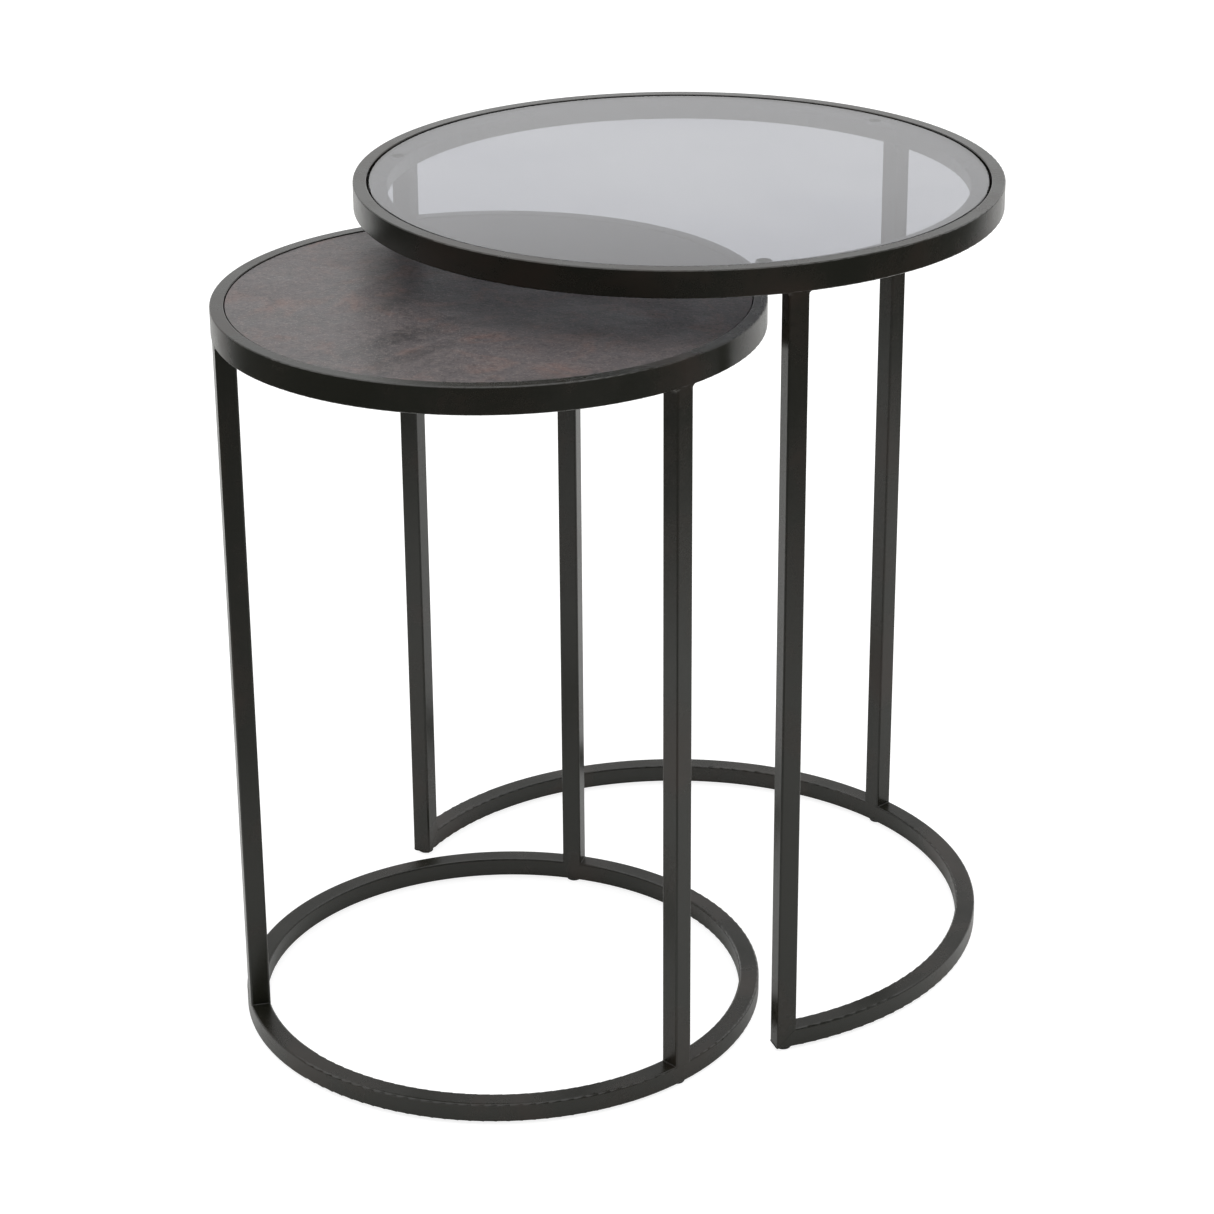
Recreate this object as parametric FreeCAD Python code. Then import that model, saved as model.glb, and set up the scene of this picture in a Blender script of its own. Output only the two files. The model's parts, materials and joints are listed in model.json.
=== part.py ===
import FreeCAD, Part
import math
import os

from FreeCAD import Vector

# Two round nesting tables on square steel tube, in millimetres.
# +Z is up and the floor is z = 0. The low table is drawn out of its nest along -Y.
# The origin is on the floor, at the middle of the pair's outline as it stands here.

# Large table
large_diameter = 480.0
large_height = 613.0
end_leg_angle = 112.5        # each end leg stands this far round from the rear leg
base_turn = 2.3              # how far the large frame is turned from straight, clockwise
glass_thickness = 5.0
glass_gap = 1.5              # all round, between the glass and its rim
pad_diameter = 12.0
pad_height = 2.0
pad_count = 3
pad_first_angle = 90.5       # the pads are evenly spaced from here
pad_set_back = 3.5           # from the ledge's inner edge to the middle of a pad

# Small table
nest_side_clearance = 3.5    # from the small table's rim to the nearer end leg
nest_top_clearance = 31.0    # from the small table's top to the large rim's underside
small_leg_count = 3
board_thickness = 6.0
sheet_thickness = 1.0
panel_gap = 0.8              # all round, between the panel and its rim
pulled_out = 188.9           # from the large table's axis to the small table's axis

# Both tables
tube_side = 15.0
tube_wall = 1.2
tube_corner = 1.5
rim_width = 10.0
rim_height = 20.0
rim_corner = 0.8
ledge_width = 15.0
top_recess = 0.65             # glass and panel lie this far below the top of the rim
polished_edge = 0.6
base_set_in = 0.5            # from the large rim's outer face in to the base's outer face
foot_diameter = 12.0
foot_height = 2.5
foot_edge = 1.8
stem_diameter = 5.0
stem_length = 7.0
stem_clearance = 0.05        # on the radius
vent_diameter = 5.0

# Modelling allowances
least_inner_corner = 0.2     # inside a tube's corner, where the wall is thicker than the corner
overcut = 1.0                # how far a cutting shape runs past the surface it cuts
nearly = 0.001               # two sizes this close count as the same

# Radii and heights that follow from them
half_side = tube_side / 2
base_top = foot_height + tube_side
large_radius = large_diameter / 2
large_base_radius = large_radius - base_set_in
rear_leg_angle = 90.0 - base_turn
left_leg_angle = rear_leg_angle + end_leg_angle
right_leg_angle = rear_leg_angle - end_leg_angle
large_leg_angles = {"rear": rear_leg_angle, "left": left_leg_angle, "right": right_leg_angle}


def leg_outer_face(base_radius):
    """Distance of a leg's flat outer face from the axis, with its corners flush."""
    return math.sqrt(base_radius ** 2 - half_side ** 2)


def doorway_half_width():
    """Room on the tighter side between the path along -Y and an end leg's corner."""
    inner_face = leg_outer_face(large_base_radius) - tube_side
    widths = []
    for angle in (left_leg_angle, right_leg_angle):
        along = math.radians(angle)
        for side in (-half_side, half_side):
            widths.append(abs(inner_face * math.cos(along) - side * math.sin(along)))
    return min(widths)


small_radius = doorway_half_width() - nest_side_clearance
small_height = large_height - rim_height - nest_top_clearance
small_leg_names = ["right", "rear", "left"]
small_leg_angles = [360.0 * index / small_leg_count for index in range(small_leg_count)]

front_edge = min(-pulled_out - small_radius, -large_radius)
rear_edge = max(-pulled_out + small_radius, large_radius)
large_axis = Vector(0, -(front_edge + rear_edge) / 2, 0)
small_axis = large_axis - Vector(0, pulled_out, 0)

nodes = {}


def add(name, shape, axis):
    """Keep a finished piece, moved from the origin to its table's axis."""
    moved = shape.copy()
    moved.translate(axis)
    nodes[name] = moved


def turned(shape, angle):
    """A copy turned about the vertical axis through the origin."""
    copy = shape.copy()
    copy.rotate(Vector(0, 0, 0), Vector(0, 0, 1), angle)
    return copy


def section(inner, outer, bottom, top, corner):
    """A round-cornered rectangle in the XZ plane, ready to be turned round the axis."""
    cut = corner * (1 - math.sqrt(0.5))
    corners = [
        (Vector(inner, 0, bottom + corner), Vector(inner + cut, 0, bottom + cut),
         Vector(inner + corner, 0, bottom)),
        (Vector(outer - corner, 0, bottom), Vector(outer - cut, 0, bottom + cut),
         Vector(outer, 0, bottom + corner)),
        (Vector(outer, 0, top - corner), Vector(outer - cut, 0, top - cut), Vector(outer - corner, 0, top)),
        (Vector(inner + corner, 0, top), Vector(inner + cut, 0, top - cut), Vector(inner, 0, top - corner)),
    ]
    edges = []
    for index, (start, middle, end) in enumerate(corners):
        next_start = corners[(index + 1) % len(corners)][0]
        edges.append(Part.Arc(start, middle, end).toShape())
        edges.append(Part.LineSegment(end, next_start).toShape())
    return Part.Face(Part.Wire(edges))


def rolled_tube(inner, outer, bottom, top, corner, start=0.0, sweep=360.0):
    """A tube rolled round the axis, from the angle start, counter-clockwise by sweep."""
    skin = section(inner, outer, bottom, top, corner)
    core = section(inner + tube_wall, outer - tube_wall, bottom + tube_wall, top - tube_wall,
                   max(corner - tube_wall, least_inner_corner))
    rings = [face.revolve(Vector(0, 0, 0), Vector(0, 0, 1), sweep) for face in (skin, core)]
    return turned(rings[0].cut(rings[1]), start)


def bar(inner, outer, bottom, top, corner):
    """An upright bar that stands across the X axis, with its four long edges rounded."""
    width = outer - inner
    block = Part.makeBox(width, width, top - bottom, Vector(inner, -width / 2, bottom))
    upright = [edge for edge in block.Edges if edge.Length > top - bottom - nearly]
    return block.makeFillet(corner, upright)


def straight_tube(outer_face, bottom, top):
    """A leg's square tube, upright on the X axis."""
    inner_face = outer_face - tube_side
    skin = bar(inner_face, outer_face, bottom, top, tube_corner)
    core = bar(inner_face + tube_wall, outer_face - tube_wall, bottom - overcut, top + overcut,
               max(tube_corner - tube_wall, least_inner_corner))
    return skin.cut(core)


def drilled(shape, diameter, radius, bottom, top, angles):
    """The shape with an upright hole at each angle, at this radius from the axis."""
    for angle in angles:
        hole = Part.makeCylinder(diameter / 2, top - bottom, Vector(radius, 0, bottom))
        shape = shape.cut(turned(hole, angle))
    return shape


def drilled_across(shape, diameter, inner, outer, height, angles):
    """The shape with a hole at each angle that points away from the axis."""
    for angle in angles:
        hole = Part.makeCylinder(diameter / 2, outer - inner, Vector(inner, 0, height), Vector(1, 0, 0))
        shape = shape.cut(turned(hole, angle))
    return shape


def mitre_wedge(outer_face, arc_side, above):
    """Everything on one side of the mitre between an end leg and the base arc.

    The leg stands on the X axis, and arc_side is 1 or -1 for the side the arc runs to.
    """
    reach = 3 * tube_side
    open_end = Vector(outer_face - 2 * tube_side, -arc_side * (half_side + reach), foot_height - reach)
    arc_end = Vector(outer_face - 2 * tube_side, arc_side * (half_side + reach), base_top + reach)
    if above:
        corner = Vector(open_end.x, open_end.y, arc_end.z)
    else:
        corner = Vector(open_end.x, arc_end.y, open_end.z)
    outline = Part.Face(Part.makePolygon([open_end, arc_end, corner, open_end]))
    return outline.extrude(Vector(3 * tube_side, 0, 0))


def rim(radius, height, leg_angles):
    """The rolled tube round a top. Vents open it into the ledge and into each leg."""
    inner = radius - rim_width
    bottom = height - rim_height
    ring = rolled_tube(inner, radius, bottom, height, rim_corner)
    ring = drilled(ring, vent_diameter, radius - rim_width / 2, bottom - overcut, bottom + rim_width / 2,
                   leg_angles)
    return drilled_across(ring, vent_diameter, inner - overcut, inner + rim_width / 2,
                          bottom + rim_height / 4, leg_angles)


def ledge(radius, height, drop, leg_angles):
    """The rolled tube inside a rim that carries the top, which lies drop below the rim."""
    outer = radius - rim_width
    inner = outer - ledge_width
    bottom = height - rim_height
    ring = rolled_tube(inner, outer, bottom, height - drop, tube_corner)
    return drilled_across(ring, vent_diameter, outer - ledge_width / 2, outer + overcut,
                          bottom + rim_height / 4, leg_angles)


def base_holes(base, base_radius, foot_angles, leg_angles):
    """The base with a hole under each foot's stem and a vent up into each leg on top of it."""
    middle = leg_outer_face(base_radius) - half_side
    stem_hole = stem_diameter + 2 * stem_clearance
    base = drilled(base, stem_hole, middle, foot_height - overcut, foot_height + 2 * tube_wall, foot_angles)
    return drilled(base, vent_diameter, middle, base_top - 2 * tube_wall, base_top + overcut, leg_angles)


def disc(radius, bottom, top):
    """A round plate with its two edges polished off."""
    plate = Part.makeCylinder(radius, top - bottom, Vector(0, 0, bottom))
    rounds = [edge for edge in plate.Edges if isinstance(edge.Curve, Part.Circle)]
    return plate.makeChamfer(polished_edge, rounds)


def foot(base_radius):
    """A glide with a flat underside and a stem that pushes up into the base."""
    middle = leg_outer_face(base_radius) - half_side
    head = Part.makeCylinder(foot_diameter / 2, foot_height, Vector(middle, 0, 0))
    lower = [edge for edge in head.Edges if abs(edge.BoundBox.ZMax) < nearly]
    head = head.makeFillet(foot_edge, lower)
    stem_foot = Vector(middle, 0, foot_height - overcut)
    stem = Part.makeCylinder(stem_diameter / 2, stem_length + overcut, stem_foot)
    return head.fuse(stem).removeSplitter()


def pad(ledge_inner, bottom):
    """A clear bumper between the ledge and the glass."""
    dome = Part.makeCylinder(pad_diameter / 2, pad_height, Vector(ledge_inner + pad_set_back, 0, bottom))
    upper = [edge for edge in dome.Edges if edge.BoundBox.ZMin > bottom + pad_height - nearly]
    return dome.makeFillet(pad_height / 2, upper)


def large_table():
    """The large frame, its glass, the pads under the glass and the feet."""
    rim_bottom = large_height - rim_height
    ledge_drop = top_recess + glass_thickness + pad_height
    ledge_top = large_height - ledge_drop
    ledge_inner = large_radius - rim_width - ledge_width
    outer_face = leg_outer_face(large_base_radius)
    angles = list(large_leg_angles.values())
    add("large_rim", rim(large_radius, large_height, angles), large_axis)
    add("large_glass_ledge", ledge(large_radius, large_height, ledge_drop, angles), large_axis)

    glass_radius = large_radius - rim_width - glass_gap
    glass_bottom = ledge_top + pad_height
    add("large_glass", disc(glass_radius, glass_bottom, glass_bottom + glass_thickness), large_axis)
    for index in range(pad_count):
        angle = pad_first_angle + 360.0 * index / pad_count
        add(f"large_glass_pad_{index + 1}", turned(pad(ledge_inner, ledge_top), angle), large_axis)

    spill = math.degrees(math.asin((half_side + overcut) / (outer_face - tube_side)))
    arc = rolled_tube(large_base_radius - tube_side, large_base_radius, foot_height, base_top, tube_corner,
                      right_leg_angle - spill, 2 * end_leg_angle + 2 * spill)
    for angle, arc_side in ((right_leg_angle, 1), (left_leg_angle, -1)):
        arc = arc.cut(turned(mitre_wedge(outer_face, arc_side, True), angle))
    add("large_base_arc", base_holes(arc, large_base_radius, angles, [rear_leg_angle]), large_axis)

    rear = straight_tube(outer_face, base_top, rim_bottom)
    add("large_rear_leg", turned(rear, rear_leg_angle), large_axis)
    for name, arc_side in (("right", 1), ("left", -1)):
        leg = straight_tube(outer_face, foot_height, rim_bottom)
        leg = leg.cut(mitre_wedge(outer_face, arc_side, False))
        add(f"large_{name}_leg", turned(leg, large_leg_angles[name]), large_axis)
    for name, angle in large_leg_angles.items():
        add(f"large_{name}_foot", turned(foot(large_base_radius), angle), large_axis)


def small_table():
    """The small frame, its boarded panel and the feet."""
    rim_bottom = small_height - rim_height
    ledge_drop = top_recess + sheet_thickness + board_thickness
    board_bottom = small_height - ledge_drop
    sheet_bottom = board_bottom + board_thickness
    panel_radius = small_radius - rim_width - panel_gap
    add("small_rim", rim(small_radius, small_height, small_leg_angles), small_axis)
    add("small_panel_ledge", ledge(small_radius, small_height, ledge_drop, small_leg_angles), small_axis)

    board = Part.makeCylinder(panel_radius, board_thickness, Vector(0, 0, board_bottom))
    sheet = Part.makeCylinder(panel_radius, sheet_thickness, Vector(0, 0, sheet_bottom))
    add("small_panel_board", board, small_axis)
    add("small_panel_sheet", sheet, small_axis)

    ring = rolled_tube(small_radius - tube_side, small_radius, foot_height, base_top, tube_corner)
    ring = base_holes(ring, small_radius, small_leg_angles, small_leg_angles)
    add("small_base_ring", ring, small_axis)
    leg = straight_tube(leg_outer_face(small_radius), base_top, rim_bottom)
    for name, angle in zip(small_leg_names, small_leg_angles):
        add(f"small_{name}_leg", turned(leg, angle), small_axis)
        add(f"small_{name}_foot", turned(foot(small_radius), angle), small_axis)


large_table()
small_table()
os.makedirs("parts", exist_ok=True)
for name, shape in nodes.items():
    shape.exportStep(f"parts/{name}.step")
    print(f"{name}: {len(shape.Solids)} solid, valid {shape.isValid()}, {shape.Volume / 1000:.2f} cm3")
print(f"small table: diameter {2 * small_radius:.2f}, height {small_height:.2f}")
print(f"axes: large y {large_axis.y:.3f}, small y {small_axis.y:.3f}")
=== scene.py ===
import json
import math

import bpy
from mathutils import Matrix, Vector


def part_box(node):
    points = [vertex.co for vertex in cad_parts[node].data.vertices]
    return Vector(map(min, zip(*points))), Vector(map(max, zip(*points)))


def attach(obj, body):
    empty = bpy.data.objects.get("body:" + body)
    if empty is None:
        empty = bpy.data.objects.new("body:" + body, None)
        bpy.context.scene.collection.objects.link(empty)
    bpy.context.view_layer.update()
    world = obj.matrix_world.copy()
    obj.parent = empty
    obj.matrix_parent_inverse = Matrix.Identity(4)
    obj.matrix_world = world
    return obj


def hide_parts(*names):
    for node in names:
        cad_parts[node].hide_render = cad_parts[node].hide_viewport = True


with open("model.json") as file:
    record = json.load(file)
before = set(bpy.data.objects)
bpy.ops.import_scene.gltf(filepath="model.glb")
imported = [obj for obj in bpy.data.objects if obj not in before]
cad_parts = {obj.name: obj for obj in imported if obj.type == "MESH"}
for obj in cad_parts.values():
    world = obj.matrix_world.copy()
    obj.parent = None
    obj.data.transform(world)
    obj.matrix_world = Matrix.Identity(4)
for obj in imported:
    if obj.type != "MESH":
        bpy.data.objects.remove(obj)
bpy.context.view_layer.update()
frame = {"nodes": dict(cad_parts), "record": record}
nodes = frame["nodes"]
slotOf = {entry["node"]: entry["material_slot"] for entry in frame["record"]["subparts"]}
bodies = frame["record"]["behaviour"]["bodies"]
bodyOf = {node: body for body, members in bodies.items() for node in members}
print("frame loaded:", len(nodes), "pieces")


def middleOf(name):  # the middle of a node's box
    low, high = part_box(name)
    return (low + high) / 2


tallAxis = middleOf("large_glass")
lowAxis = middleOf("small_panel_sheet")


# the camera stands in front and to the right, a little above eye level for a chair
cameraStand = {
    "standAzimuth": 45.04,   # degrees round the tall table, 0 is straight in front
    "standDistance": 2.3555,
    "standHeight": 1.2752,
    "lookAzimuth": 46.375,   # 0 looks along +Y
    "lookDown": 23.22,
    "roll": -0.39,
    "lens": 97.5,
    "sensor": 36.0,
}


def makeCamera():
    data = bpy.data.cameras.new("camera")
    camera = bpy.data.objects.new("camera", data)
    bpy.context.scene.collection.objects.link(camera)
    data.lens = cameraStand["lens"]
    data.sensor_width = cameraStand["sensor"]
    around = math.radians(cameraStand["standAzimuth"])
    spot = Vector((tallAxis.x + cameraStand["standDistance"] * math.sin(around),
                   tallAxis.y - cameraStand["standDistance"] * math.cos(around),
                   cameraStand["standHeight"]))
    turn = Matrix.Rotation(math.radians(cameraStand["lookAzimuth"]), 4, "Z")
    tip = Matrix.Rotation(math.radians(90 - cameraStand["lookDown"]), 4, "X")
    roll = Matrix.Rotation(math.radians(cameraStand["roll"]), 4, "Z")
    camera.matrix_world = Matrix.Translation(spot) @ turn @ tip @ roll
    bpy.context.scene.camera = camera


# small helpers for node trees

def link(tree, source, socket):  # source is a number, a colour or another node's output
    if isinstance(source, (int, float, tuple)):
        socket.default_value = source
    else:
        tree.links.new(source, socket)


def rangeNode(tree, source, low, high, bottom=0.0, top=1.0):  # low..high of source becomes bottom..top
    node = tree.nodes.new("ShaderNodeMapRange")
    node.interpolation_type = "SMOOTHSTEP"
    for name, value in (("Value", source), ("From Min", low), ("From Max", high),
                        ("To Min", bottom), ("To Max", top)):
        link(tree, value, node.inputs[name])
    return node.outputs["Result"]


def mathNode(tree, operation, first, second):
    node = tree.nodes.new("ShaderNodeMath")
    node.operation = operation
    link(tree, first, node.inputs[0])
    link(tree, second, node.inputs[1])
    return node.outputs["Value"]


def vectorNode(tree, operation, first, second, result="Vector"):
    node = tree.nodes.new("ShaderNodeVectorMath")
    node.operation = operation
    link(tree, first, node.inputs[0])
    link(tree, second, node.inputs[1])
    return node.outputs[result]


def noiseNode(tree, vector, scale, detail=2.0, roughness=0.5, distortion=0.0):
    node = tree.nodes.new("ShaderNodeTexNoise")
    for name, value in (("Vector", vector), ("Scale", scale), ("Detail", detail),
                        ("Roughness", roughness), ("Distortion", distortion)):
        link(tree, value, node.inputs[name])
    return node.outputs["Fac"]


def blendNode(tree, mask, first, second):  # colours, first where the mask is 0
    node = tree.nodes.new("ShaderNodeMix")
    node.data_type = "RGBA"
    link(tree, mask, node.inputs["Factor"])
    link(tree, first, [s for s in node.inputs if s.name == "A" and s.type == "RGBA"][0])
    link(tree, second, [s for s in node.inputs if s.name == "B" and s.type == "RGBA"][0])
    return [s for s in node.outputs if s.type == "RGBA"][0]


def placed(tree, move=(0, 0, 0), stretch=(1, 1, 1)):  # object coordinates, moved and stretched
    where = tree.nodes.new("ShaderNodeTexCoord").outputs["Object"]
    node = tree.nodes.new("ShaderNodeMapping")
    node.inputs["Location"].default_value = move
    node.inputs["Scale"].default_value = stretch
    tree.links.new(where, node.inputs["Vector"])
    return node.outputs["Vector"]


studio = {
    "away": 46.0,            # the azimuth that the camera looks along
    "backLevel": 1.22,       # brightness near the horizon behind the tables
    "frontLevel": 0.2,       # and on the camera's side
    "wallTurn": (-0.6, 0.5),  # front to back, where one level becomes the other
    "wallTop": (0.27, 0.37),  # the sines of the heights between which the wall dims
    "upperShare": 0.31,      # how bright the upper wall is beside the horizon
    "topHeights": (0.55, 0.76),
    "topExtra": 1.45,        # added overhead, from between these heights up
    "floorSize": 40.0,
    "floorColour": (0.36, 0.36, 0.36, 1),
    "floorGlow": 0.85,       # keeps the contact shadows light
    "floorRoughness": 0.9,
    "floorGloss": 0.2,
}
sweep = {                    # painted light for reflections: a pale pool where the lit paper would be, painted dark beyond it
    "height": 0.001,
    "pale": (0.86, 0.86, 0.845, 1),
    # painted shade: the colour that reflections see beyond the painted pool of light
    "dark": (0.04, 0.04, 0.04, 1),
    "shift": 0.12,           # how far its middle lies to the right
    "sideStart": 0.85,       # it fades out sideways from here
    "sideEnd": 1.5,
    "taper": 0.4,            # and is this much narrower for each metre nearer the camera
    "frontStart": 0.8,       # it fades out towards the camera from here
    "frontEnd": 1.7,
    "standShade": 0.7,       # painted shade: how much a patch in front is darkened
    "standSide": (0.2, 0.5),
    "standFront": (0.3, 0.75),
}


def outward(azimuth):  # level direction away from a camera that looks along this azimuth
    around = math.radians(azimuth)
    return Vector((-math.sin(around), math.cos(around), 0))


def makeWorld():
    world = bpy.data.worlds.new("studio")
    bpy.context.scene.world = world
    world.use_nodes = True
    tree = world.node_tree
    background = tree.nodes["Background"]
    background.inputs["Color"].default_value = (1, 1, 1, 1)
    where = tree.nodes.new("ShaderNodeTexCoord").outputs["Object"]
    towards = vectorNode(tree, "DOT_PRODUCT", where, tuple(outward(studio["away"])), "Value")
    height = vectorNode(tree, "DOT_PRODUCT", where, (0, 0, 1), "Value")
    wall = rangeNode(tree, towards, *studio["wallTurn"], studio["frontLevel"], studio["backLevel"])
    upper = rangeNode(tree, height, *studio["wallTop"], 1, studio["upperShare"])
    top = rangeNode(tree, height, *studio["topHeights"], 0, studio["topExtra"])
    total = mathNode(tree, "ADD", mathNode(tree, "MULTIPLY", wall, upper), top)
    looked = tree.nodes.new("ShaderNodeLightPath").outputs["Is Camera Ray"]  # plain white behind the floor
    tree.links.new(mathNode(tree, "MAXIMUM", total, looked), background.inputs["Strength"])


def stagePlane(name, height):
    bpy.ops.mesh.primitive_plane_add(size=studio["floorSize"], location=(0, 0, 0))
    plane = bpy.context.object
    plane.name = name
    plane.location.z = height
    paint = bpy.data.materials.new(name + "Paper")
    paint.use_nodes = True
    plane.data.materials.append(paint)
    return plane, paint.node_tree, paint.node_tree.nodes["Principled BSDF"]


def makeFloor():
    plane, tree, shader = stagePlane("floor", 0)
    shader.inputs["Base Color"].default_value = studio["floorColour"]
    shader.inputs["Roughness"].default_value = studio["floorRoughness"]
    shader.inputs["Specular IOR Level"].default_value = studio["floorGloss"]
    shader.inputs["Emission Color"].default_value = (1, 1, 1, 1)
    shader.inputs["Emission Strength"].default_value = studio["floorGlow"]


def makeSweep():  # only reflections see it: a painted pool of light with painted shade around it
    plane, tree, shader = stagePlane("sweep", sweep["height"])
    where = tree.nodes.new("ShaderNodeTexCoord").outputs["Object"]
    ahead = outward(studio["away"])
    right = Vector((ahead.y, -ahead.x, 0))
    across = vectorNode(tree, "DOT_PRODUCT", where, tuple(right), "Value")
    across = mathNode(tree, "ABSOLUTE", mathNode(tree, "SUBTRACT", across, sweep["shift"]), 0)
    towards = vectorNode(tree, "DOT_PRODUCT", where, tuple(-ahead), "Value")
    across = mathNode(tree, "ADD", across, mathNode(tree, "MULTIPLY", towards, sweep["taper"]))
    sides = rangeNode(tree, across, sweep["sideStart"], sweep["sideEnd"], 1, 0)
    front = rangeNode(tree, towards, sweep["frontStart"], sweep["frontEnd"], 1, 0)
    lit = mathNode(tree, "MULTIPLY", sides, front)
    # painted shade: a patch in front of the tables is darkened in the reflection card
    beside = vectorNode(tree, "DOT_PRODUCT", where, tuple(right), "Value")
    beside = mathNode(tree, "ABSOLUTE", beside, 0)
    shaded = rangeNode(tree, beside, *sweep["standSide"], sweep["standShade"], 0)
    patch = mathNode(tree, "MULTIPLY", shaded, rangeNode(tree, towards, *sweep["standFront"]))
    lit = mathNode(tree, "MULTIPLY", lit, mathNode(tree, "SUBTRACT", 1.0, patch))
    colour = blendNode(tree, lit, sweep["dark"], sweep["pale"])
    tree.links.new(colour, shader.inputs["Base Color"])
    shader.inputs["Roughness"].default_value = 1
    shader.inputs["Specular IOR Level"].default_value = 0
    plane.visible_camera = False
    plane.visible_diffuse = False
    plane.visible_transmission = False
    plane.visible_shadow = False


makeCamera()
makeWorld()
makeFloor()
makeSweep()
bpy.context.scene.view_settings.view_transform = "Standard"
print("camera and studio ready")


# effects that several finishes share

def newGroup(name, inputs, outputs):  # each socket is (name, kind) or (name, kind, value)
    group = bpy.data.node_groups.new(name, "ShaderNodeTree")
    for name, kind, *value in inputs:
        socket = group.interface.new_socket(name, in_out="INPUT", socket_type="NodeSocket" + kind)
        if value:
            socket.default_value = value[0]
    for name, kind in outputs:
        group.interface.new_socket(name, in_out="OUTPUT", socket_type="NodeSocket" + kind)
    entry = group.nodes.new("NodeGroupInput")
    leave = group.nodes.new("NodeGroupOutput")
    return group, entry.outputs, leave.inputs


def useGroup(tree, name, **values):  # puts the group in a material, with its own values
    node = tree.nodes.new("ShaderNodeGroup")
    node.node_tree = bpy.data.node_groups[name]
    for key, value in values.items():
        link(tree, value, node.inputs[key])
    return node.outputs


def makeCloudPatches():  # soft patches at one size, for worn, mottled or wiped places
    group, given, result = newGroup(
        "cloudPatches",
        [("Vector", "Vector"), ("Scale", "Float", 10.0), ("Detail", "Float", 4.0),
         ("Warp", "Float", 0.5), ("Low", "Float", 0.4), ("High", "Float", 0.6)],
        [("Mask", "Float"), ("Height", "Float")])
    cloud = noiseNode(group, given["Vector"], given["Scale"], given["Detail"], 0.6, given["Warp"])
    link(group, rangeNode(group, cloud, given["Low"], given["High"]), result["Mask"])
    link(group, cloud, result["Height"])


def makeFineGrain():  # grain and scattered specks
    group, given, result = newGroup(
        "fineGrain",
        [("Vector", "Vector"), ("Scale", "Float", 900.0), ("Speck Size", "Float", 0.25)],
        [("Height", "Float"), ("Specks", "Float")])
    grain = noiseNode(group, given["Vector"], given["Scale"], 3.0, 0.65)
    cells = group.nodes.new("ShaderNodeTexVoronoi")
    link(group, given["Vector"], cells.inputs["Vector"])
    link(group, given["Scale"], cells.inputs["Scale"])
    link(group, grain, result["Height"])
    specks = rangeNode(group, cells.outputs["Distance"], 0.0, given["Speck Size"], 1, 0)
    link(group, specks, result["Specks"])


def makeEdgeRub():  # outer and inner corners, broken up
    group, given, result = newGroup(
        "edgeRub",
        [("Vector", "Vector"), ("Width", "Float", 0.001), ("Breaks", "Float", 60.0)],
        [("Mask", "Float")])
    rounded = group.nodes.new("ShaderNodeBevel")
    rounded.samples = 4
    link(group, given["Width"], rounded.inputs["Radius"])
    flat = group.nodes.new("ShaderNodeNewGeometry").outputs["Normal"]
    agree = vectorNode(group, "DOT_PRODUCT", rounded.outputs["Normal"], flat, "Value")
    corner = rangeNode(group, agree, 0.99, 0.9)
    breaks = rangeNode(group, noiseNode(group, given["Vector"], given["Breaks"], 4.0, 0.6), 0.35, 0.65)
    link(group, mathNode(group, "MULTIPLY", corner, breaks), result["Mask"])


def makeSettledDust():  # faint dust on what faces up
    group, given, result = newGroup(
        "settledDust",
        [("Vector", "Vector"), ("Amount", "Float", 0.1)],
        [("Mask", "Float")])
    facing = group.nodes.new("ShaderNodeNewGeometry").outputs["Normal"]
    up = rangeNode(group, vectorNode(group, "DOT_PRODUCT", facing, (0, 0, 1), "Value"), 0.5, 1.0)
    drift = rangeNode(group, noiseNode(group, given["Vector"], 22.0, 5.0, 0.7), 0.35, 0.75)
    settled = mathNode(group, "MULTIPLY", up, drift)
    link(group, mathNode(group, "MULTIPLY", settled, given["Amount"]), result["Mask"])


makeCloudPatches()
makeFineGrain()
makeEdgeRub()
makeSettledDust()
print("shared effects ready")


def newMaterial(name):
    material = bpy.data.materials.new(name)
    material.use_nodes = True
    return material, material.node_tree, material.node_tree.nodes["Principled BSDF"]


def bumpInto(tree, shader, height, strength, distance):
    node = tree.nodes.new("ShaderNodeBump")
    node.inputs["Strength"].default_value = strength
    node.inputs["Distance"].default_value = distance
    link(tree, height, node.inputs["Height"])
    link(tree, node.outputs["Normal"], shader.inputs["Normal"])


framePaint = {               # dark bronze powder coat, satin
    "olive": (0.0098, 0.0102, 0.0066, 1),
    "brown": (0.0175, 0.0118, 0.0073, 1),
    "fleck": (0.040, 0.031, 0.022, 1),
    "rubbed": (0.060, 0.044, 0.030, 1),
    "dust": (0.20, 0.19, 0.17, 1),
    "fleckShare": 0.45,
    "rubShare": 0.1,         # bare corners barely show
    "dustShare": 0.035,
    "roughness": (0.19, 0.28),
    "peel": 240.0,           # about 4 mm from one swell of the coat to the next
    "grain": 1500.0,
    "bump": (0.12, 0.0002),  # strength, and depth in metres
}


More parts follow.
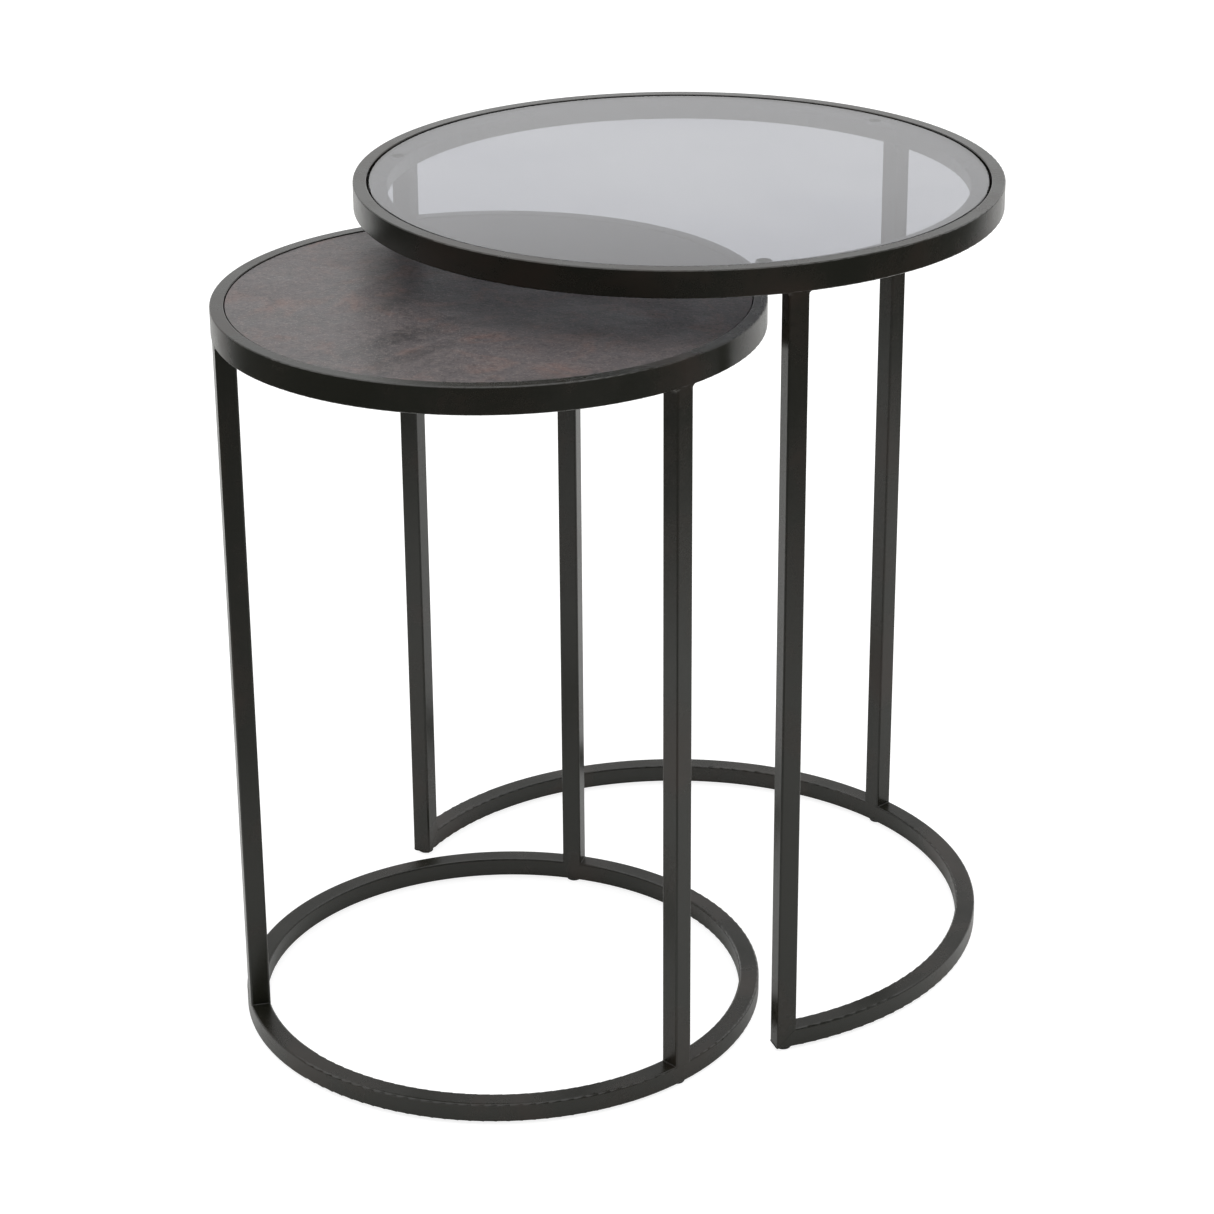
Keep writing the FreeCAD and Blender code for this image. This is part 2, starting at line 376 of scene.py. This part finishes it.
def makeFramePaint():
    material, tree, shader = newMaterial("darkBronzePaint")
    where = placed(tree)
    cloud = useGroup(tree, "cloudPatches", Vector=where, Scale=11.0, Detail=5.0,
                     Warp=0.4, Low=0.45, High=0.7)
    grain = useGroup(tree, "fineGrain", Vector=where, Scale=framePaint["grain"])
    rub = useGroup(tree, "edgeRub", Vector=where, Width=0.0012, Breaks=18.0)
    dust = useGroup(tree, "settledDust", Vector=where, Amount=framePaint["dustShare"])
    colour = blendNode(tree, cloud["Mask"], framePaint["olive"], framePaint["brown"])
    flecks = mathNode(tree, "MULTIPLY", grain["Specks"], framePaint["fleckShare"])
    colour = blendNode(tree, flecks, colour, framePaint["fleck"])
    rubbed = mathNode(tree, "MULTIPLY", rub["Mask"], framePaint["rubShare"])
    colour = blendNode(tree, rubbed, colour, framePaint["rubbed"])
    colour = blendNode(tree, dust["Mask"], colour, framePaint["dust"])
    link(tree, colour, shader.inputs["Base Color"])
    low, high = framePaint["roughness"]
    rough = rangeNode(tree, cloud["Height"], 0.3, 0.7, low, high)
    link(tree, mathNode(tree, "ADD", rough, mathNode(tree, "MULTIPLY", grain["Height"], 0.05)),
         shader.inputs["Roughness"])
    peel = noiseNode(tree, where, framePaint["peel"], 2.0, 0.4)
    height = mathNode(tree, "ADD", peel, mathNode(tree, "MULTIPLY", grain["Height"], 0.25))
    bumpInto(tree, shader, height, *framePaint["bump"])
    return material


greyGlass = {
    "clear": (0.288, 0.295, 0.320, 1),
    "deep": (0.264, 0.271, 0.300, 1),
    "roughness": (0.0, 0.010),
    "bending": 1.5,          # refractive index
}


def makeTintedGlass():
    material, tree, shader = newMaterial("greyGlass")
    where = placed(tree)
    dye = useGroup(tree, "cloudPatches", Vector=where, Scale=4.0, Detail=2.0,
                   Warp=0.2, Low=0.35, High=0.65)
    wiped = useGroup(tree, "cloudPatches", Vector=placed(tree, stretch=(1, 3.5, 1)), Scale=9.0, Detail=5.0,
                     Warp=1.5, Low=0.62, High=0.8)
    colour = blendNode(tree, dye["Mask"], greyGlass["clear"], greyGlass["deep"])
    link(tree, colour, shader.inputs["Base Color"])
    low, high = greyGlass["roughness"]
    link(tree, rangeNode(tree, wiped["Mask"], 0, 1, low, high), shader.inputs["Roughness"])
    shader.inputs["Transmission Weight"].default_value = 1
    shader.inputs["IOR"].default_value = greyGlass["bending"]
    return material


patina = {                   # bronze-brown sheet with darker and redder clouds
    "ground": (0.080, 0.068, 0.070, 1),
    "dark": (0.026, 0.024, 0.025, 1),
    "red": (0.128, 0.080, 0.070, 1),
    "pale": (0.260, 0.215, 0.198, 1),
    "dust": (0.20, 0.19, 0.18, 1),
    "darkShare": 0.75,       # how strongly each layer covers the ones under it
    "mottleShare": 0.27,
    "pitShare": 0.6,
    # pale specks in the patina, partly painted glints for the sparkle of its sheen
    "speckShare": 0.68,
    "dustShare": 0.03,
    "speckSize": 0.36,
    "roughness": (0.30, 0.44),
    "grain": 430.0,
    "bump": (0.7, 0.0009),   # strength, and depth in metres
}


def makePatina():
    material, tree, shader = newMaterial("bronzePatina")
    where = placed(tree)
    brushed = placed(tree, stretch=(1, 0.45, 1))
    dark = useGroup(tree, "cloudPatches", Vector=brushed, Scale=13.0, Detail=6.0,
                    Warp=0.9, Low=0.47, High=0.64)
    red = useGroup(tree, "cloudPatches", Vector=placed(tree, move=(3.1, 1.7, 0)), Scale=24.0, Detail=6.0,
                   Warp=1.2, Low=0.48, High=0.68)
    mottle = useGroup(tree, "cloudPatches", Vector=where, Scale=150.0, Detail=5.0,
                      Warp=0.6, Low=0.42, High=0.68)
    grain = useGroup(tree, "fineGrain", Vector=where, Scale=patina["grain"],
                     **{"Speck Size": patina["speckSize"]})
    dust = useGroup(tree, "settledDust", Vector=where, Amount=patina["dustShare"])
    colour = blendNode(tree, red["Mask"], patina["ground"], patina["red"])
    darkened = mathNode(tree, "MULTIPLY", dark["Mask"], patina["darkShare"])
    colour = blendNode(tree, darkened, colour, patina["dark"])
    mottled = mathNode(tree, "MULTIPLY", mottle["Mask"], patina["mottleShare"])
    colour = blendNode(tree, mottled, colour, patina["pale"])
    pits = useGroup(tree, "cloudPatches", Vector=placed(tree, move=(1.3, 0.4, 0)), Scale=330.0, Detail=4.0,
                    Warp=0.3, Low=0.5, High=0.66)
    pitted = mathNode(tree, "MULTIPLY", pits["Mask"], patina["pitShare"])
    colour = blendNode(tree, pitted, colour, patina["dark"])
    # pale specks in the patina, strengthened as painted glints that stand in for the sparkle of its sheen
    specks = mathNode(tree, "MULTIPLY", grain["Specks"], patina["speckShare"])
    colour = blendNode(tree, specks, colour, patina["pale"])
    colour = blendNode(tree, dust["Mask"], colour, patina["dust"])
    link(tree, colour, shader.inputs["Base Color"])
    low, high = patina["roughness"]
    rough = rangeNode(tree, dark["Height"], 0.35, 0.65, high, low)
    rough = mathNode(tree, "ADD", rough, mathNode(tree, "MULTIPLY", mottle["Mask"], 0.05))
    link(tree, rough, shader.inputs["Roughness"])
    swell = noiseNode(tree, where, 34.0, 3.0, 0.5)
    fine = mathNode(tree, "MULTIPLY", grain["Height"], 0.28)
    height = mathNode(tree, "ADD", swell, fine)
    height = mathNode(tree, "ADD", height, mathNode(tree, "MULTIPLY", mottle["Height"], 0.2))
    bumpInto(tree, shader, height, *patina["bump"])
    return material


glideFinish = {
    "black": (0.010, 0.010, 0.010, 1),
    "worn": (0.035, 0.034, 0.032, 1),
    "rubShare": 0.8,
    "wornShare": 0.4,
    "roughness": (0.42, 0.62),
    "bump": (0.3, 0.0001),
}


def makeGlidePlastic():
    material, tree, shader = newMaterial("blackGlide")
    where = placed(tree)
    cloud = useGroup(tree, "cloudPatches", Vector=where, Scale=160.0, Detail=4.0, Low=0.4, High=0.7)
    grain = useGroup(tree, "fineGrain", Vector=where, Scale=2200.0)
    rub = useGroup(tree, "edgeRub", Vector=where, Width=0.0006, Breaks=300.0)
    rubbed = mathNode(tree, "MULTIPLY", rub["Mask"], glideFinish["rubShare"])
    clouded = mathNode(tree, "MULTIPLY", cloud["Mask"], glideFinish["wornShare"])
    worn = mathNode(tree, "MAXIMUM", rubbed, clouded)
    colour = blendNode(tree, worn, glideFinish["black"], glideFinish["worn"])
    link(tree, colour, shader.inputs["Base Color"])
    low, high = glideFinish["roughness"]
    link(tree, rangeNode(tree, cloud["Height"], 0.3, 0.7, low, high), shader.inputs["Roughness"])
    bumpInto(tree, shader, grain["Height"], *glideFinish["bump"])
    return material


bumperFinish = {             # slightly milky soft plastic
    "clear": (0.93, 0.93, 0.92, 1),
    "cloudy": (0.84, 0.84, 0.82, 1),
    "roughness": (0.03, 0.12),
    "seeThrough": 0.6,
    "bending": 1.49,         # refractive index
}


def makeClearBumper():
    material, tree, shader = newMaterial("clearBumper")
    where = placed(tree)
    cloud = useGroup(tree, "cloudPatches", Vector=where, Scale=300.0, Detail=3.0, Low=0.4, High=0.7)
    colour = blendNode(tree, cloud["Mask"], bumperFinish["clear"], bumperFinish["cloudy"])
    link(tree, colour, shader.inputs["Base Color"])
    low, high = bumperFinish["roughness"]
    link(tree, rangeNode(tree, cloud["Height"], 0.3, 0.7, low, high), shader.inputs["Roughness"])
    shader.inputs["Transmission Weight"].default_value = bumperFinish["seeThrough"]
    shader.inputs["IOR"].default_value = bumperFinish["bending"]
    return material


boardFinish = {
    "brown": (0.050, 0.034, 0.022, 1),
    "dark": (0.026, 0.018, 0.012, 1),
    "fibre": (0.105, 0.075, 0.048, 1),
    "fibreShare": 0.5,
    "fibreSize": 0.35,
    "roughness": (0.5, 0.68),
    "bump": (0.25, 0.0002),
}


def makeBoard():
    material, tree, shader = newMaterial("sealedBoard")
    where = placed(tree)
    cloud = useGroup(tree, "cloudPatches", Vector=where, Scale=12.0, Detail=5.0, Low=0.4, High=0.65)
    fibre = useGroup(tree, "fineGrain", Vector=placed(tree, stretch=(1, 0.25, 1)), Scale=700.0,
                     **{"Speck Size": boardFinish["fibreSize"]})
    colour = blendNode(tree, cloud["Mask"], boardFinish["brown"], boardFinish["dark"])
    fibres = mathNode(tree, "MULTIPLY", fibre["Specks"], boardFinish["fibreShare"])
    colour = blendNode(tree, fibres, colour, boardFinish["fibre"])
    link(tree, colour, shader.inputs["Base Color"])
    low, high = boardFinish["roughness"]
    link(tree, rangeNode(tree, cloud["Height"], 0.3, 0.7, low, high), shader.inputs["Roughness"])
    bumpInto(tree, shader, fibre["Height"], *boardFinish["bump"])
    return material


finishes = {
    "frame_paint": makeFramePaint(),
    "tinted_glass": makeTintedGlass(),
    "patina_sheet": makePatina(),
    "foot_plastic": makeGlidePlastic(),
    "clear_pad": makeClearBumper(),
    "panel_board": makeBoard(),
}
for name, slot in slotOf.items():
    nodes[name].material_slots[0].material = finishes[slot]
print("finishes ready:", ", ".join(finishes))


# modelling helpers

tiny = 0.00001               # for telling which points lie on a face
smoothAngle = math.radians(40)


def freshObject(name):  # the primitive that was just added, renamed
    piece = bpy.context.object
    piece.name = name
    piece.data.name = name
    return piece


def pick(piece, kind, test):  # selects the vertices, edges or faces that pass the test, in edit mode
    bpy.ops.object.mode_set(mode="EDIT")
    bpy.ops.mesh.select_mode(type=kind)
    bpy.ops.mesh.select_all(action="DESELECT")
    bpy.ops.object.mode_set(mode="OBJECT")
    mesh = piece.data
    items = {"VERT": mesh.vertices, "EDGE": mesh.edges, "FACE": mesh.polygons}[kind]
    for item in items:
        item.select = bool(test(mesh, item))
    bpy.ops.object.mode_set(mode="EDIT")


def done():
    bpy.ops.object.mode_set(mode="OBJECT")


def isLevel(mesh, edge):  # both ends at one height
    first, second = edge.vertices
    return mesh.vertices[first].co.z == mesh.vertices[second].co.z


def isUpright(mesh, edge):
    return not isLevel(mesh, edge)


def selectOnly(piece):
    bpy.ops.object.select_all(action="DESELECT")
    piece.select_set(True)
    bpy.context.view_layer.objects.active = piece


def finishPiece(piece, body, slot):  # place goes into the mesh, then finish, body and slot are set
    selectOnly(piece)
    bpy.ops.object.transform_apply(location=True, rotation=True, scale=True)
    bpy.ops.object.shade_smooth_by_angle(angle=smoothAngle)
    piece.data.materials.clear()
    piece.data.materials.append(finishes[slot])
    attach(piece, body)


def applyAll(piece):
    bpy.context.view_layer.objects.active = piece
    for modifier in list(piece.modifiers):
        bpy.ops.object.modifier_apply(modifier=modifier.name)


def copyTo(pattern, name, spot, turn):  # a copy with its own mesh, stood at spot and turned about Z
    piece = pattern.copy()
    piece.data = pattern.data.copy()
    piece.name = name
    piece.data.name = name
    bpy.context.scene.collection.objects.link(piece)
    piece.location = spot
    piece.rotation_euler = (0, 0, turn)
    return piece


def dropPattern(pattern):
    mesh = pattern.data
    bpy.data.objects.remove(pattern)
    bpy.data.meshes.remove(mesh)


def facingOut(name, axis):  # a leg's middle, and its direction from the table's axis
    middle = middleOf(name)
    return middle, math.atan2(middle.y - axis.y, middle.x - axis.x)


glide = {                    # moulded foot under the base, with its cap let in
    "sides": 48,
    "edge": 0.0012,
    "edgeSteps": 4,
    "lipWidth": 0.0012,
    "capDepth": 0.0005,
    "buttonShare": 0.35,
}


def makeGlidePattern(radius, height):
    bpy.ops.object.select_all(action="DESELECT")
    bpy.ops.mesh.primitive_cylinder_add(vertices=glide["sides"], radius=radius, depth=height,
                                        location=(0, 0, height / 2))
    piece = freshObject("glide")
    bpy.ops.object.transform_apply(location=True)
    pick(piece, "EDGE", lambda mesh, edge: all(mesh.vertices[v].co.z < tiny for v in edge.vertices))
    bpy.ops.mesh.bevel(offset=glide["edge"], segments=glide["edgeSteps"], affect="EDGES")
    pick(piece, "FACE", lambda mesh, face: face.normal.z < -0.99 and face.center.z < tiny)
    bpy.ops.mesh.inset(thickness=glide["lipWidth"], depth=0)
    bpy.ops.mesh.inset(thickness=glide["capDepth"] / 2, depth=-glide["capDepth"])
    bpy.ops.mesh.inset(thickness=radius * glide["buttonShare"], depth=0)
    bpy.ops.mesh.inset(thickness=glide["capDepth"] / 2, depth=glide["capDepth"] / 2)
    done()
    return piece


def makeGlides():
    low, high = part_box("large_rear_foot")
    radius = (high.x - low.x) / 2
    pattern = makeGlidePattern(radius, glideTop)
    for name in sorted(bodyOf):
        if not name.endswith("_foot"):
            continue
        middle = middleOf(name)
        piece = copyTo(pattern, name.replace("_foot", "_glide"), (middle.x, middle.y, 0), 0)
        finishPiece(piece, bodyOf[name], "foot_plastic")
        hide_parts(name)
    dropPattern(pattern)


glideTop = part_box("small_base_ring")[0].z
makeGlides()
print("glides ready")


bumper = {"sides": 48, "crown": 0.0009, "steps": 5, "landWidth": 0.0008}


def makeBumpers():  # clear domed pads under the glass
    low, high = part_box("large_glass_pad_1")
    bpy.ops.object.select_all(action="DESELECT")
    bpy.ops.mesh.primitive_cylinder_add(vertices=bumper["sides"], radius=(high.x - low.x) / 2,
                                        depth=high.z - low.z, location=(0, 0, (high.z + low.z) / 2))
    pattern = freshObject("bumper")
    bpy.ops.object.transform_apply(location=True)
    top = high.z
    pick(pattern, "EDGE", lambda mesh, edge: all(mesh.vertices[v].co.z > top - tiny for v in edge.vertices))
    bpy.ops.mesh.bevel(offset=bumper["crown"], segments=bumper["steps"], affect="EDGES")
    pick(pattern, "FACE", lambda mesh, face: abs(face.normal.z) > 0.99)
    bpy.ops.mesh.inset(thickness=bumper["landWidth"], depth=0)
    done()
    for name in sorted(bodyOf):
        if "_glass_pad_" not in name:
            continue
        middle = middleOf(name)
        piece = copyTo(pattern, name.replace("_glass_pad_", "_bumper_"), (middle.x, middle.y, 0), 0)
        finishPiece(piece, bodyOf[name], "clear_pad")
        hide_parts(name)
    dropPattern(pattern)


makeBumpers()
print("bumpers ready")


weld = {                     # fillet beads where a leg meets a rim or a base
    "topRise": 0.0032,       # how far a bead under a rim runs along the leg
    "topSpread": 0.0021,     # and out along the rim
    "topFill": 0.0007,       # and up into the rounded edge of the rim
    "footRise": 0.0007,      # the beads at the base are much smaller
    "footSpread": 0.0004,
    "footFill": 0.0014,
    "flush": 0.00004,        # it stands this far off a face that is ground flush
    "tuck": 0.75,            # share of the spread where the bead starts in the rounded edge
    "corner": 0.0016,
    "cornerSteps": 3,
    "cuts": 4,
    "steps": ((0.0, 1.0), (0.14, 0.62), (0.36, 0.28), (0.66, 0.08), (1.0, 0.01)),
    "ripple": 0.28,          # as a share of how far a bead spreads
    "rippleSize": 0.0025,
    "rippleStart": 0.0001,   # ripples begin this far out from the leg's sides
    "rippleEnd": 0.0005,     # and stop this far short of its outer face
}


def makeWeldPattern(name, legSide, innerBead, size):  # stands on z = 0 and rises, outer side at +X
    rise, spread, fill = weld[size + "Rise"], weld[size + "Spread"], weld[size + "Fill"]
    anchor = Vector((legSide / 2 + weld["flush"], 0, 0))

    def widths(out):
        inner = out if innerBead else weld["flush"]
        return legSide + weld["flush"] + inner, legSide + 2 * out

    bpy.ops.object.select_all(action="DESELECT")
    bpy.ops.mesh.primitive_plane_add(size=legSide, location=(0, 0, -fill))
    piece = freshObject(name)
    bpy.ops.object.transform_apply(location=True)
    bpy.ops.object.mode_set(mode="EDIT")
    bpy.ops.mesh.select_all(action="SELECT")
    bpy.ops.transform.translate(value=(weld["flush"], 0, 0))
    before = (legSide, legSide)
    heights = [(-fill, weld["tuck"])] + [(along * rise, out) for along, out in weld["steps"]]
    last = heights[0][0]
    for height, out in heights:
        if height > last:
            bpy.ops.mesh.extrude_region_move(TRANSFORM_OT_translate={"value": (0, 0, height - last)})
        now = widths(out * spread)
        bpy.ops.transform.resize(value=(now[0] / before[0], now[1] / before[1], 1), center_override=anchor)
        before = now
        last = height
    bpy.ops.mesh.select_all(action="SELECT")
    bpy.ops.mesh.normals_make_consistent(inside=False)
    pick(piece, "EDGE", isUpright)
    bpy.ops.mesh.bevel(offset=weld["corner"], segments=weld["cornerSteps"], affect="EDGES")
    pick(piece, "FACE", lambda mesh, face: abs(face.normal.z) < 0.99)
    bpy.ops.mesh.subdivide(number_cuts=weld["cuts"])
    done()
    side = legSide / 2 + weld["rippleStart"]
    front = legSide / 2 - weld["rippleEnd"]
    loose = [v.index for v in piece.data.vertices
             if (abs(v.co.y) > side or (innerBead and v.co.x < -side))
             and v.co.x < front and v.co.z > rise / 16]
    piece.vertex_groups.new(name="bead").add(loose, 1, "REPLACE")
    return piece


def rippleTexture():
    texture = bpy.data.textures.new("weldRipple", "CLOUDS")
    texture.noise_scale = weld["rippleSize"]
    return texture


def layWeld(pattern, name, body, spot, turn, hanging, spread, texture):
    piece = copyTo(pattern, name, spot, turn)
    if hanging:  # turned over about the line that points out from the axis
        piece.rotation_euler = (math.pi, 0, turn)
    selectOnly(piece)
    bpy.ops.object.transform_apply(location=True, rotation=True)
    ripple = piece.modifiers.new("ripple", "DISPLACE")
    ripple.texture = texture
    ripple.texture_coords = "LOCAL"
    ripple.vertex_group = "bead"
    ripple.strength = weld["ripple"] * spread
    ripple.mid_level = 0.5
    applyAll(piece)
    finishPiece(piece, body, "frame_paint")


def makeWelds():
    low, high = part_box("small_right_leg")
    legSide = high.x - low.x
    texture = rippleTexture()
    topPattern = makeWeldPattern("topWeld", legSide, True, "top")
    footPattern = makeWeldPattern("footWeld", legSide, False, "foot")
    for name in sorted(bodyOf):
        if not name.endswith("_leg"):
            continue
        axis = tallAxis if name.startswith("large") else lowAxis
        middle, turn = facingOut(name, axis)
        low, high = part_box(name)
        body = bodyOf[name]
        label = name.replace("_leg", "")
        layWeld(topPattern, label + "_top_weld", body, (middle.x, middle.y, high.z), turn, True,
                weld["topSpread"], texture)
        if low.z > baseTop - 0.001:  # it stands on its base, and isn't mitred into it
            layWeld(footPattern, label + "_foot_weld", body, (middle.x, middle.y, low.z), turn, False,
                    weld["footSpread"], texture)
    dropPattern(topPattern)
    dropPattern(footPattern)


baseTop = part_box("small_base_ring")[1].z
makeWelds()
print("welds ready")


seam = {                     # a filled mitre, ground nearly flush
    "proud": 0.00010,
    "thickness": 0.0009,
    "corner": 0.0017,
    "cornerSteps": 4,
    "edge": 0.00015,
    "edgeSteps": 2,
}


def makeSeams():  # the ground mitres where the tall table's end legs turn into the base
    low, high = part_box("small_right_leg")
    side = high.x - low.x
    low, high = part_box("large_base_arc")
    height = (low.z + high.z) / 2
    for name, arcSide in (("large_right_leg", 1), ("large_left_leg", -1)):
        middle, turn = facingOut(name, tallAxis)
        bpy.ops.object.select_all(action="DESELECT")
        bpy.ops.mesh.primitive_plane_add(size=side + 2 * seam["proud"], location=(0, 0, 0))
        piece = freshObject(name.replace("_leg", "_mitre_seam"))
        bpy.ops.object.mode_set(mode="EDIT")
        bpy.ops.mesh.select_all(action="SELECT")
        bpy.ops.mesh.bevel(offset=seam["corner"], segments=seam["cornerSteps"], affect="VERTICES")
        bpy.ops.transform.resize(value=(1, math.sqrt(2), 1), center_override=(0, 0, 0))
        bpy.ops.mesh.extrude_region_move(TRANSFORM_OT_translate={"value": (0, 0, seam["thickness"])})
        bpy.ops.mesh.select_all(action="SELECT")
        bpy.ops.transform.translate(value=(0, 0, -seam["thickness"] / 2))
        bpy.ops.mesh.normals_make_consistent(inside=False)
        pick(piece, "EDGE", isLevel)
        bpy.ops.mesh.bevel(offset=seam["edge"], segments=seam["edgeSteps"], affect="EDGES")
        done()
        piece.rotation_euler = (math.radians(45) * arcSide, 0, turn)
        piece.location = (middle.x, middle.y, height)
        finishPiece(piece, bodyOf[name], "frame_paint")


makeSeams()
print("mitre seams ready")
